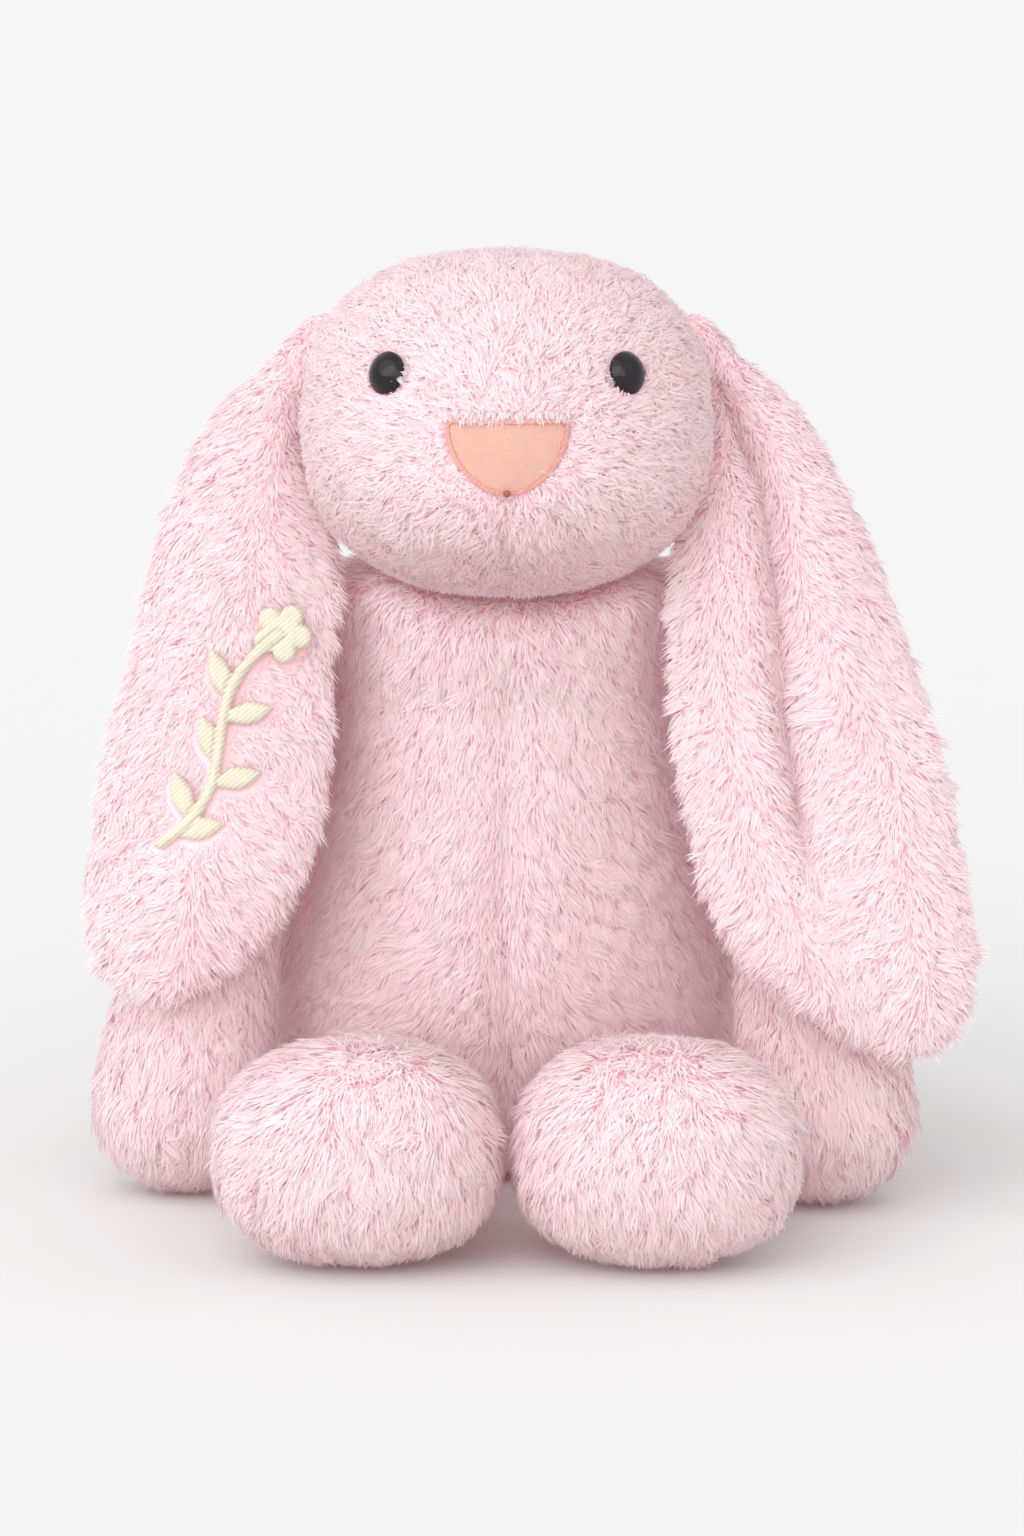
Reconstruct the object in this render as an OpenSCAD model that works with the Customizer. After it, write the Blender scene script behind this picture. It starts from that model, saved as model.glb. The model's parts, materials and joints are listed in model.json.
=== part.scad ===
// Sitting plush rabbit with lop ears. Millimetres, +Z up, the rabbit faces -Y.
// The origin is the middle of the seat, on the surface that the rabbit sits on.
// Every fur cover is a hollow shell around its own filling, and each limb is a
// closed bag of its own, sewn to the next one along a seam.

/* [Head] */
// Width of the head over the fur
head_w = 120; // [114:1:124]
// Depth of the head, from the muzzle to the back
head_d = 110; // [104:1:114]
// Height of the head, from the chin to the crown
head_h = 101; // [96:1:104]
// Height of the chin above the seat
chin_z = 176; // [174:1:182]

/* [Torso] */
// Widest part of the torso over the fur
torso_w = 143; // [136:1:146]
// Depth of the torso at the belly
torso_d = 102; // [96:1:104]
// Height of the torso up to the neck seam
torso_h = 176; // [170:1:178]

/* [Ears] */
// Widest part of the left ear
ear_left_w = 71; // [64:1:74]
// Widest part of the right ear
ear_right_w = 80; // [70:1:82]
// Thickness of an ear at its middle, both panels together
ear_t = 18; // [14:1:19]
// Height of the seam that holds an ear to the head
ear_seam_z = 251; // [249:1:254]

/* [Arms and legs] */
// Widest part of a paw
paw_w = 55; // [50:1:56]
// Length of an arm from the top of the shoulder to the floor
arm_h = 171; // [165:1:173]
// Width of a foot
foot_w = 84; // [78:1:85]
// Height of a foot
foot_h = 65; // [60:1:65]
// Length of a leg from the hip to the sole
leg_len = 117; // [112:1:122]

/* [Face] */
// Diameter of an eye bead
eye_d = 12.4; // [10:0.2:13]
// Distance of each eye from the middle of the face
eye_x = 35.5; // [32:0.5:38]
// Height of the eyes above the seat
eye_z = 244.5; // [240:0.5:247]
// Width of the nose patch
nose_w = 35.4; // [30:0.2:38]
// Height of the nose patch
nose_h = 21.4; // [18:0.2:22]

/* [Cloth] */
// Thickness of the fur cloth, its backing and pile together
fur_t = 6; // [4:0.5:7]
// Gap between a cover and the filling inside it
slack = 0.3; // [0.2:0.1:0.6]

/* [Hidden] */

LEFT = -1;
RIGHT = 1;
CAP_RINGS = 5;
SIDES = 28;
FUR = [0.96, 0.80, 0.84];
FILLING = [0.96, 0.96, 0.94];
CREAM = [0.95, 0.93, 0.85];

// Each profile below is a list of stations at even steps along its own body, from its
// first end to its last. A station is [centre across, centre deep, half-width, half-depth]
// in millimetres or in parts of the driving size, as each body's function says.
TORSO_PROFILE = [
    [0, 13, 0.475, 0.475], [0, 12, 0.500, 0.500], [0, 11, 0.500, 0.500], [0, 9, 0.462, 0.470],
    [0, 7, 0.410, 0.420], [0, 5, 0.366, 0.363], [0, 4, 0.354, 0.320]
];
HEAD_PROFILE = [
    [0, -22, 0.435, 0.440], [0, -27, 0.485, 0.495], [0, -27, 0.502, 0.500], [0, -24, 0.502, 0.465],
    [0, -20, 0.490, 0.430], [0, -18, 0.475, 0.400]
];
EAR_LEFT_PROFILE = [
    [102, -68, 0.345, 0.40], [90.5, -57, 0.460, 0.50], [84.5, -46, 0.490, 0.50], [80.5, -36, 0.430, 0.50],
    [79, -25, 0.345, 0.50], [74.5, -7, 0.200, 0.46], [58, 11, 0.105, 0.40]
];
EAR_RIGHT_PROFILE = [
    [114, -84, 0.320, 0.40], [97.5, -74, 0.468, 0.50], [90, -59, 0.500, 0.50], [83.5, -44, 0.470, 0.50],
    [80.8, -29.5, 0.345, 0.50], [75.5, -8, 0.190, 0.46], [58, 11, 0.094, 0.40]
];
ARM_LEFT_PROFILE = [
    [95, -38, 0.49, 0.450], [95.5, -38, 0.50, 0.470], [92.5, -32, 0.44, 0.420], [87, -22, 0.365, 0.380],
    [80, -12, 0.318, 0.362], [73, -4, 0.290, 0.345], [67, 0, 0.272, 0.327]
];
ARM_RIGHT_PROFILE = [
    [92.5, -51, 0.49, 0.450], [93, -51, 0.50, 0.470], [91, -42, 0.44, 0.420], [87, -30, 0.365, 0.380],
    [80, -17, 0.318, 0.362], [73, -6, 0.290, 0.345], [67, 0, 0.272, 0.327]
];
LEG_PROFILE = [
    [37, 27.0, 0.300, 0.385], [37.5, 27.0, 0.306, 0.392], [39, 28.0, 0.335, 0.405],
    [40.6, 31.5, 0.425, 0.465], [41.7, 33.0, 0.500, 0.500], [41.7, 33.0, 0.490, 0.490]
];

EAR_LEFT_TIP_Z = 62;
EAR_RIGHT_TIP_Z = 49;
EAR_TOP_Z = ear_seam_z + 8;
EAR_TIP_ROUND = 36;
LEG_START_Y = -38;
SOLE_DEPTH = 15;
FLOOR_GAP = 0.4;

// ---- Smooth bodies -------------------------------------------------------------

// Point between b and c of a smooth curve through a, b, c and d
function curve(a, b, c, d, f) =
    0.5 * (2 * b + (c - a) * f + (2 * a - 5 * b + 4 * c - d) * f * f
        + (3 * b - a - 3 * c + d) * f * f * f);

// Station of a profile at t, from 0 at its first end to 1 at its last
function station(profile, t) =
    let (n = len(profile) - 1, s = t * n, i = min(floor(s), n - 1))
    curve(profile[max(i - 1, 0)], profile[i], profile[i + 1], profile[min(i + 2, n)], s - i);

// Height of a rounded edge at u, from 0 at its rim to 1 where it is full
function rounded(u, power) = pow(max(1 - pow(1 - min(u, 1), power), 0.00002), 1 / power);

// Cosine or sine with the corners of a section filled out by its squareness
function filled(v, square) = sign(v) * pow(abs(v), 2 / square);

// Where the rings lie: close together in the rounded ends, even between them
function ring_places(low, high, first, last, rings) = concat(
    first > 0 ? [for (i = [0:CAP_RINGS]) low + first * (1 - cos(90 * i / CAP_RINGS))] : [low],
    [for (i = [1:rings - 1]) low + first + (high - low - first - last) * i / rings],
    last > 0 ? [for (i = [CAP_RINGS:-1:0]) high - last * (1 - cos(90 * i / CAP_RINGS))] : [high]
);

// One ring of a body: its points at place t, on one side or all around
function ring(profile, t, inset, round_by, from, to, square) =
    let (s = station(profile, t), count = to - from < 360 ? SIDES / 2 : SIDES - 1)
    [for (j = [0:count])
        let (a = from + (to - from) * j / (to - from < 360 ? count : SIDES))
        [
            s[0] + (s[2] - inset) * round_by * filled(cos(a), square),
            s[1] + (s[3] - inset) * round_by * filled(sin(a), square)
        ]
    ];

// A closed body along +Z. first and last are the lengths of its rounded ends, flat is how
// much of the first end stays flat, and inset makes a smaller body inside the same one.
module body(profile, length, first, last, inset = 0, flat = 0, power = 2.2, square = 2.1,
            from = 0, to = 360, rings = 10) {
    low = inset / length;
    high = 1 - inset / length;
    soft_low = max(first - inset, 0) / length;
    soft_high = max(last - inset, 0) / length;
    places = ring_places(low, high, soft_low, soft_high, rings);
    points = [for (t = places)
        let (
            lower = soft_low > 0 ? flat + (1 - flat) * rounded((t - low) / soft_low, power) : 1,
            upper = soft_high > 0 ? rounded((high - t) / soft_high, power) : 1
        )
        for (p = ring(profile, t, inset, lower * upper, from, to, square))
            [p[0], p[1], t * length]
    ];
    n = len(points) / len(places);
    top = (len(places) - 1) * n;
    sides = [for (k = [0:len(places) - 2]) for (j = [0:n - 1])
        let (a = k * n + j, b = k * n + (j + 1) % n)
        [a, a + n, b + n, b]
    ];
    polyhedron(
        points = points,
        faces = concat(sides, [[for (j = [0:n - 1]) j]], [[for (j = [n - 1:-1:0]) top + j]]),
        convexity = 6
    );
}

// Turns a profile's parts of a width and a depth into millimetres
function sized(profile, width, depth) =
    [for (s = profile) [s[0], s[1], s[2] * width, s[3] * depth]];

// The same profile on the left or on the right side
function on_side(profile, side) = [for (s = profile) [s[0] * side, s[1], s[2], s[3]]];

// ---- Torso ---------------------------------------------------------------------

module torso_body(inset = 0) {
    body(sized(TORSO_PROFILE, torso_w, torso_d), torso_h, 24, 14, inset, flat = 0.80,
        power = 2.6, square = 2.25, rings = 10);
}

POUCH_R = 34;
POUCH_H = 18;
POUCH_Z = fur_t + slack + 3;
POUCH_Y = 13;
POUCH_CLOTH = 0.8;

// A round cushion: a disc with a rounded rim
module cushion(r, h) {
    rotate_extrude() {
        square([r - h / 2, h]);
        intersection() {
            translate([r - h / 2, h / 2]) circle(d = h);
            translate([r - h / 2, 0]) square([h / 2, h]);
        }
    }
}

module at_pouch(inset = 0) {
    translate([0, POUCH_Y, POUCH_Z + inset]) cushion(POUCH_R - inset, POUCH_H - 2 * inset);
}

module torso_cover() {
    color(FUR) difference() {
        torso_body();
        torso_body(fur_t);
    }
}

module torso_filling() {
    color(FILLING) difference() {
        torso_body(fur_t + slack);
        at_pouch(-slack);
    }
}

module bean_pouch() {
    color("white") difference() {
        at_pouch();
        at_pouch(POUCH_CLOTH);
    }
}

module bean_pellets() {
    color("gainsboro") at_pouch(POUCH_CLOTH + slack / 2);
}

TAIL_R = 17;
TAIL_Z = 34;
TAIL_Y = 13 + torso_d / 2 + TAIL_R - 0.5;

module tail_ball(r) {
    translate([0, TAIL_Y, TAIL_Z]) sphere(r = r, $fn = 48);
}

module tail_cover() {
    color(FUR) difference() {
        tail_ball(TAIL_R);
        tail_ball(TAIL_R - fur_t);
    }
}

module tail_filling() {
    color(FILLING) tail_ball(TAIL_R - fur_t - slack);
}

// ---- Head ----------------------------------------------------------------------

HEAD_ROUND = head_h / 2;
HEAD_POWER = 2.7;

module head_body(inset = 0) {
    translate([0, 0, chin_z])
        body(sized(HEAD_PROFILE, head_w, head_d), head_h, HEAD_ROUND, HEAD_ROUND, inset,
            power = HEAD_POWER, square = 2.2, rings = 1);
}

// How far forward the fur reaches on the face at a place across and a height
function face_y(x, z) =
    let (
        t = (z - chin_z) / head_h,
        s = station(sized(HEAD_PROFILE, head_w, head_d), t),
        f = rounded(t * head_h / HEAD_ROUND, HEAD_POWER)
            * rounded((1 - t) * head_h / HEAD_ROUND, HEAD_POWER)
    )
    s[1] - s[3] * f * pow(1 - pow(abs(x) / (s[2] * f), 2.2), 1 / 2.2);

EYE_YAW = 42;
EYE_PITCH = 14;
EYE_SINK = 2.6;
EYE_DOME = 4.6;
EYE_FLANGE = 1.1;
STEM_R = 2;
STEM_L = 14;
RIB_R = 2.5;
RIB_STEP = 2;
RIB_T = 0.7;
WASHER_R = 8;
WASHER_T = 1.6;
WASHER_DROP = 5.4;
WASHER_TOP = WASHER_T + 0.1 - WASHER_DROP;

// Puts its children at an eye, with +Z out of the face
module at_eye(side) {
    translate([side * eye_x, face_y(eye_x, eye_z), eye_z])
        rotate([90 - EYE_PITCH, 0, side * EYE_YAW])
            translate([0, 0, -EYE_SINK]) children();
}

// Half of the eye's section: the dome, its flange, and the ribbed stem behind them
module eye_section() {
    dome_h = EYE_DOME - EYE_FLANGE;
    dome_r = (pow(eye_d / 2, 2) + pow(dome_h, 2)) / (2 * dome_h);
    square([eye_d / 2, EYE_FLANGE]);
    intersection() {
        translate([0, EYE_DOME - dome_r]) circle(r = dome_r, $fn = 96);
        translate([0, EYE_FLANGE - 0.01]) square([eye_d / 2, EYE_DOME]);
    }
    translate([0, -STEM_L]) square([STEM_R, STEM_L + 0.1]);
    for (z = [RIB_STEP - STEM_L:RIB_STEP:-WASHER_DROP - RIB_STEP])
        translate([0, z]) square([RIB_R, RIB_T]);
}

module eye(side) {
    color("black") at_eye(side) rotate_extrude() eye_section();
}

module eye_washer(side) {
    color("white") at_eye(side)
        translate([0, 0, -WASHER_DROP]) difference() {
            cylinder(r = WASHER_R, h = WASHER_T, $fn = 48);
            translate([0, 0, -1]) cylinder(r = STEM_R + 0.05, h = WASHER_T + 2, $fn = 32);
        }
}

// Room for an eye and its stem in the cover, and for the washer that grips it from behind
module eye_seat(side) {
    at_eye(side) {
        cylinder(d = eye_d + 0.2, h = 12, $fn = 48);
        translate([0, 0, -fur_t]) cylinder(r = STEM_R + 0.1, h = fur_t + 1, $fn = 32);
        translate([0, 0, -STEM_L]) cylinder(r = WASHER_R + slack, h = WASHER_TOP + STEM_L, $fn = 48);
    }
}

// Room for a stem and its washer in the filling
module washer_room(side) {
    at_eye(side) translate([0, 0, -STEM_L - 1])
        cylinder(r = WASHER_R + slack, h = STEM_L + 2, $fn = 48);
}

NOSE_Z = 221.4;
NOSE_BED_R = 50;
NOSE_BED_Y = -28.2;
NOSE_BED_Z = 216;
PATCH_T = 1.2;
NOSE_CORNER = 2.2;
EDGING_W = 1.1;
EDGING_T = 0.5;
NOSE_TURN = 10;
KNOT_R = 1.1;
KNOT_RISE = 0.9;
KNOT_Z = NOSE_Z - nose_h / 2 + KNOT_RISE;
NOSE_SQUARE = 1.7;

// Outline of the nose patch: flat above, a half round below that comes to a soft tip
module nose_outline(grow = 0) {
    offset(r = NOSE_CORNER + grow, $fn = 24) offset(delta = -NOSE_CORNER)
        polygon([for (a = [0:NOSE_TURN:180])
            [nose_w / 2 * filled(cos(a), NOSE_SQUARE), nose_h / 2 - nose_h * pow(sin(a), 0.9)]]);
}

// A slice of the nose between two radii of the curved bed that it lies on
module nose_layer(grow, inner, outer) {
    intersection() {
        translate([0, -30, NOSE_Z]) rotate([90, 0, 0]) linear_extrude(80) nose_outline(grow);
        translate([0, NOSE_BED_Y, NOSE_BED_Z]) difference() {
            sphere(r = NOSE_BED_R + outer, $fn = 64);
            sphere(r = NOSE_BED_R + inner, $fn = 64);
        }
    }
}

module nose_patch() {
    color([0.96, 0.78, 0.70]) nose_layer(0, 0, PATCH_T);
}

module nose_edging() {
    color([0.90, 0.62, 0.58]) difference() {
        nose_layer(0, PATCH_T + 0.02, PATCH_T + EDGING_T);
        translate([0, -30, NOSE_Z]) rotate([90, 0, 0]) linear_extrude(80) nose_outline(-EDGING_W);
    }
}

module nose_knot() {
    color([0.62, 0.20, 0.22])
        translate([0, NOSE_BED_Y - NOSE_BED_R - PATCH_T - EDGING_T - KNOT_R, KNOT_Z])
            sphere(r = KNOT_R, $fn = 32);
}

module nose_seat() {
    nose_layer(0.3, -0.05, 12);
    translate([0, NOSE_BED_Y - NOSE_BED_R, KNOT_Z]) rotate([90, 0, 0])
        cylinder(r = KNOT_R + slack, h = 10, $fn = 32);
}

module head_cover() {
    color(FUR) difference() {
        head_body();
        head_body(fur_t);
        nose_seat();
        for (side = [LEFT, RIGHT]) eye_seat(side);
    }
}

module head_filling() {
    color(FILLING) difference() {
        head_body(fur_t + slack);
        for (side = [LEFT, RIGHT]) washer_room(side);
    }
}

// ---- Ears ----------------------------------------------------------------------

// One sewn panel of an ear: the front one or the back one
module ear_panel(profile, width, tip_z, side, from, shift) {
    translate([0, shift, tip_z])
        body(on_side(sized(profile, width, ear_t), side), EAR_TOP_Z - tip_z, EAR_TIP_ROUND, 8,
            from = from, to = from + 180, power = 2.2, rings = 14);
}

PANEL_GAP = 0.1;

module ear_left_panel(from, shift) {
    ear_panel(EAR_LEFT_PROFILE, ear_left_w, EAR_LEFT_TIP_Z, LEFT, from, shift);
}

module ear_right_panel(from, shift) {
    ear_panel(EAR_RIGHT_PROFILE, ear_right_w, EAR_RIGHT_TIP_Z, RIGHT, from, shift);
}

module ear_left_front() {
    color(FUR) difference() {
        ear_left_panel(180, -PANEL_GAP);
        on_ear() translate([0, 0, -SPRIG_T / 2]) linear_extrude(20) sprig(0.6);
    }
}

module ear_left_back() {
    color(FUR) ear_left_panel(0, PANEL_GAP);
}

module ear_right_front() {
    color(FUR) ear_right_panel(180, -PANEL_GAP);
}

module ear_right_back() {
    color(FUR) ear_right_panel(0, PANEL_GAP);
}

SPRIG_X = -83;
SPRIG_Y = -51.5;
SPRIG_Z = 137;
SPRIG_LEAN = 15;
SPRIG_TURN = -30;
SPRIG_T = 3;
SPRIG_L = 72;
STEM_W = 3.2;
SPRIG_BOW = 5;
LEAF_L = 15;
LEAF_W = 6.4;
LEAF_TURN = 48;
LEAF_PAIRS = 3;
PETALS = 5;
PETAL_R = 3.4;
BLOOM_R = 5.4;

// Puts its children on the face of the left ear, with +Z out of the fur and +Y up the sprig
module on_ear() {
    translate([SPRIG_X, SPRIG_Y, SPRIG_Z])
        rotate([90 - SPRIG_LEAN, 0, 0]) rotate([0, 0, SPRIG_TURN]) children();
}

// The sprig's stem at t, from 0 at its foot to 1 at its bloom
function stem_at(t) = [SPRIG_BOW * sin(360 * t), SPRIG_L * (t - 0.5)];

module stem_2d(grow) {
    steps = 14;
    left = [for (i = [0:steps]) stem_at(i / steps) + [-STEM_W / 2 - grow, 0]];
    right = [for (i = [steps:-1:0]) stem_at(i / steps) + [STEM_W / 2 + grow, 0]];
    polygon(concat(left, right));
}

module leaf_2d(grow) {
    tip = LEAF_L + grow;
    half = LEAF_W / 2 + grow;
    polygon(concat(
        [for (i = [0:8]) [half * sin(180 * i / 8), tip * i / 8]],
        [for (i = [7:-1:1]) [-half * sin(180 * i / 8), tip * i / 8]]
    ));
}

// A leafy stem with a small round bloom, drawn flat
module sprig(grow = 0) {
    stem_2d(grow);
    for (i = [0:LEAF_PAIRS - 1]) for (side = [-1, 1]) {
        t = 0.12 + 0.25 * i + 0.04 * side;
        translate(stem_at(t)) rotate([0, 0, side * LEAF_TURN]) leaf_2d(grow);
    }
    translate(stem_at(1)) for (i = [0:PETALS - 1])
        rotate([0, 0, 90 + 360 * i / PETALS]) translate([BLOOM_R, 0])
            circle(r = PETAL_R + grow, $fn = 24);
    translate(stem_at(1)) circle(r = PETAL_R, $fn = 24);
}

module ear_left_embroidery() {
    color(CREAM) on_ear() translate([0, 0, -SPRIG_T / 2 + 0.05]) linear_extrude(SPRIG_T) sprig();
}

// ---- Arms and legs -------------------------------------------------------------

module arm_body(side, inset = 0) {
    profile = side == LEFT ? ARM_LEFT_PROFILE : ARM_RIGHT_PROFILE;
    translate([0, 0, FLOOR_GAP])
        body(on_side(sized(profile, paw_w, paw_w), side), arm_h, 27, 15.5, inset,
            power = 2.1, rings = 9);
}

module arm_cover(side) {
    color(FUR) difference() {
        arm_body(side);
        arm_body(side, fur_t);
    }
}

module arm_filling(side) {
    color(FILLING) arm_body(side, fur_t + slack);
}

// A leg and its foot lie along -Y: the body's own length runs forward from the hip
module leg_body(side, inset = 0) {
    translate([0, LEG_START_Y, 0]) rotate([90, 0, 0])
        body(on_side(sized(LEG_PROFILE, foot_w, foot_h), side), leg_len, 25, 34, inset,
            power = 2.3, square = 2.4, rings = 6);
}

module leg_shell(side) {
    difference() {
        leg_body(side);
        leg_body(side, fur_t);
    }
}

// The space in front of the seam around the sole
module sole_space(gap) {
    translate([-150, LEG_START_Y - leg_len - 10, -10])
        cube([300, SOLE_DEPTH + 10 + gap, 100]);
}

module leg_cover(side) {
    color(FUR) difference() {
        leg_shell(side);
        sole_space(0.1);
    }
}

module leg_sole(side) {
    color(FUR) intersection() {
        leg_shell(side);
        sole_space(0);
    }
}

module leg_filling(side) {
    color(FILLING) leg_body(side, fur_t + slack);
}

// ---- Nodes ---------------------------------------------------------------------

torso_cover();
torso_filling();
bean_pouch();
bean_pellets();
tail_cover();
tail_filling();
head_cover();
head_filling();
nose_patch();
nose_edging();
nose_knot();
eye(LEFT);  // eye_left
eye(RIGHT);  // eye_right
eye_washer(LEFT);  // eye_left_washer
eye_washer(RIGHT);  // eye_right_washer
ear_left_front();
ear_left_back();
ear_left_embroidery();
ear_right_front();
ear_right_back();
arm_cover(LEFT);  // arm_left_cover
arm_filling(LEFT);  // arm_left_filling
arm_cover(RIGHT);  // arm_right_cover
arm_filling(RIGHT);  // arm_right_filling
leg_cover(LEFT);  // leg_left_cover
leg_sole(LEFT);  // leg_left_sole
leg_filling(LEFT);  // leg_left_filling
leg_cover(RIGHT);  // leg_right_cover
leg_sole(RIGHT);  // leg_right_sole
leg_filling(RIGHT);  // leg_right_filling
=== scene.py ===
"""Looks of a sitting plush rabbit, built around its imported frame.

Lengths are in metres, +Z is up and the rabbit faces -Y. Every fur cover is a cloth skin,
stuffed from the frame's own solids, with a pile of fine strands that grows on it.
"""

import json
import logging
import math
from collections.abc import Callable
from dataclasses import dataclass
from enum import Enum

import bpy
import numpy as np
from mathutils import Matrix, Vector
from mathutils.bvhtree import BVHTree
from mathutils.kdtree import KDTree

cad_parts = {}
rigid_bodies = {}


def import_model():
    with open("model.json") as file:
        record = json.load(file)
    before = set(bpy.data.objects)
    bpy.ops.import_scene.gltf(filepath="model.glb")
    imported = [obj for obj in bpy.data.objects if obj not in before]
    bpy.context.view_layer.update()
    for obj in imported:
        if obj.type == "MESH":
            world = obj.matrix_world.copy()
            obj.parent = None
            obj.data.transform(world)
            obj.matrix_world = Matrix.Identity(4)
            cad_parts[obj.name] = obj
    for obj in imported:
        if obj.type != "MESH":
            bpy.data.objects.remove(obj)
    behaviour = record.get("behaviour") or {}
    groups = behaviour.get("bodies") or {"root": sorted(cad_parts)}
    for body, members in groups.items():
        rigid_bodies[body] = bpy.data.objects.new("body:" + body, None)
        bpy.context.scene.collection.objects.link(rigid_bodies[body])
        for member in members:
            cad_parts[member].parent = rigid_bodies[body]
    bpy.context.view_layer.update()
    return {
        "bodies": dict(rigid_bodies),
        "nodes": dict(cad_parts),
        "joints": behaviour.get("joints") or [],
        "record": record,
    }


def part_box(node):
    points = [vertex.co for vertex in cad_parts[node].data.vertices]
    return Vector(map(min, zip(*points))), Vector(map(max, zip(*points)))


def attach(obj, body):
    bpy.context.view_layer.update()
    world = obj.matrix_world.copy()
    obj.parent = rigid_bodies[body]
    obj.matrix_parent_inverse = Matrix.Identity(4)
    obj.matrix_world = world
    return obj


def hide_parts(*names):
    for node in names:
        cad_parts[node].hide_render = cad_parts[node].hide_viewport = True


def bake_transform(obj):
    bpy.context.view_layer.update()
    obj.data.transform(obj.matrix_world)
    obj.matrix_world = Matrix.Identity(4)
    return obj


log = logging.getLogger("rabbit")

MM = 0.001
PROBE = 2.5 * MM  # How far above its root a strand is tested against the bare parts.
STITCH_SLANT = (0.64, 0.0, -0.77)  # The way across the embroidery's stitches.
Array = np.ndarray
Flow = Callable[[Array, Array], Array]
Colour = tuple[float, float, float]


class Side(Enum):
    """The two sides of the rabbit, as the viewer in front of it names them."""

    LEFT = -1
    RIGHT = 1

    @property
    def word(self) -> str:
        """The side's name as the frame's nodes spell it."""
        return self.name.lower()


# ---- Shader nodes ----------------------------------------------------------------------


class Value:
    """A number in a material: a node's output, with the usual signs adding Math nodes."""

    def __init__(self, recipe: "Recipe", socket: bpy.types.NodeSocket) -> None:
        """Wraps a socket of a recipe's tree."""
        self.recipe = recipe
        self.socket = socket

    def _math(self, operation: str, *terms: "Value | float") -> "Value":
        """Adds one Math node.

        Args:
            operation: The node's operation.
            terms: Its inputs, in order.

        Returns:
            The node's result.
        """
        return self.recipe.node("ShaderNodeMath", {"operation": operation}, *terms)

    def __add__(self, other: "Value | float") -> "Value":
        """Sum of two values."""
        return self._math("ADD", self, other)

    def __sub__(self, other: "Value | float") -> "Value":
        """Difference of two values."""
        return self._math("SUBTRACT", self, other)

    def __mul__(self, other: "Value | float") -> "Value":
        """Product of two values."""
        return self._math("MULTIPLY", self, other)

    def sine(self) -> "Value":
        """Sine of this value, in radians."""
        return self._math("SINE", self)

    def clear(self) -> "Value":
        """This value held between 0 and 1."""
        return self.recipe.node("ShaderNodeClamp", {}, self)

    def other(self, out: int) -> "Value":
        """Another output of the node that gives this value."""
        return Value(self.recipe, self.socket.node.outputs[out])


class Recipe:
    """A material being made: its node tree, its shader and short ways to add to them."""

    def __init__(self, name: str) -> None:
        """Starts a new material with one Principled shader."""
        self.material = bpy.data.materials.new(name)
        self.material.use_nodes = True
        self.tree = self.material.node_tree
        self.shader = self.tree.nodes["Principled BSDF"]
        self.output = self.tree.nodes["Material Output"]

    def node(self, kind: str, settings: dict, *inputs: object, out: int = 0, **named: object) -> Value:
        """Adds a node.

        Args:
            kind: The node's type.
            settings: Its own settings, set before its sockets.
            inputs: Values or links of its first sockets, in order. None leaves one alone.
            out: Which output to return.
            named: Values or links of sockets by name, with spaces as underscores.

        Returns:
            The chosen output.
        """
        made = self.tree.nodes.new(kind)
        for key, value in settings.items():
            if key == "stops":
                self._stops(made.color_ramp, value)
            else:
                setattr(made, key, value)
        for socket, value in zip(made.inputs, inputs, strict=False):
            self.feed(socket, value)
        for key, value in named.items():
            self.feed(made.inputs[key.replace("_", " ")], value)
        return Value(self, made.outputs[out])

    @staticmethod
    def _stops(ramp: bpy.types.ColorRamp, stops: list[tuple[float, Colour]]) -> None:
        """Sets a ramp's stops from (place, colour) pairs."""
        while len(ramp.elements) < len(stops):
            ramp.elements.new(1.0)
        for element, (place, colour) in zip(ramp.elements, stops, strict=True):
            element.position = place
            element.color = (*colour, 1.0)

    def feed(self, socket: bpy.types.NodeSocket, value: object) -> None:
        """Links a Value to a socket, or sets the socket to a plain value."""
        if value is None:
            return
        if isinstance(value, Value):
            self.tree.links.new(value.socket, socket)
        elif isinstance(value, tuple) and len(value) == 3 and socket.type == "RGBA":
            socket.default_value = (*value, 1.0)
        else:
            socket.default_value = value

    def set(self, **named: object) -> None:
        """Sets or links the shader's sockets by name, with spaces as underscores."""
        for key, value in named.items():
            self.feed(self.shader.inputs[key.replace("_", " ")], value)

    def place(self) -> Value:
        """Object coordinates."""
        return self.node("ShaderNodeTexCoord", {}, out=3)

    def noise(self, at: Value, scale: float, detail: float = 2.0) -> Value:
        """Smooth noise at a place."""
        return self.node("ShaderNodeTexNoise", {}, Vector=at, Scale=scale, Detail=detail)

    def mix(self, by: "Value | float", a: "Value | Colour", b: "Value | Colour") -> Value:
        """A colour between a and b."""
        made = self.tree.nodes.new("ShaderNodeMix")
        made.data_type = "RGBA"
        for index, value in ((0, by), (6, a), (7, b)):
            self.feed(made.inputs[index], value)
        return Value(self, made.outputs[2])

    def blend(self, share: float, other: Value) -> None:
        """Puts a share of another shader in place of the Principled one."""
        mixed = self.node("ShaderNodeMixShader", {}, share, Value(self, self.shader.outputs[0]), other)
        self.feed(self.output.inputs["Surface"], mixed)

    def bump(self, height: Value, depth: float, strength: float) -> None:
        """Puts a height on the shader's normal."""
        normal = self.node("ShaderNodeBump", {}, Height=height, Distance=depth, Strength=strength)
        self.set(Normal=normal)


# ---- Finishes --------------------------------------------------------------------------


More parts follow.
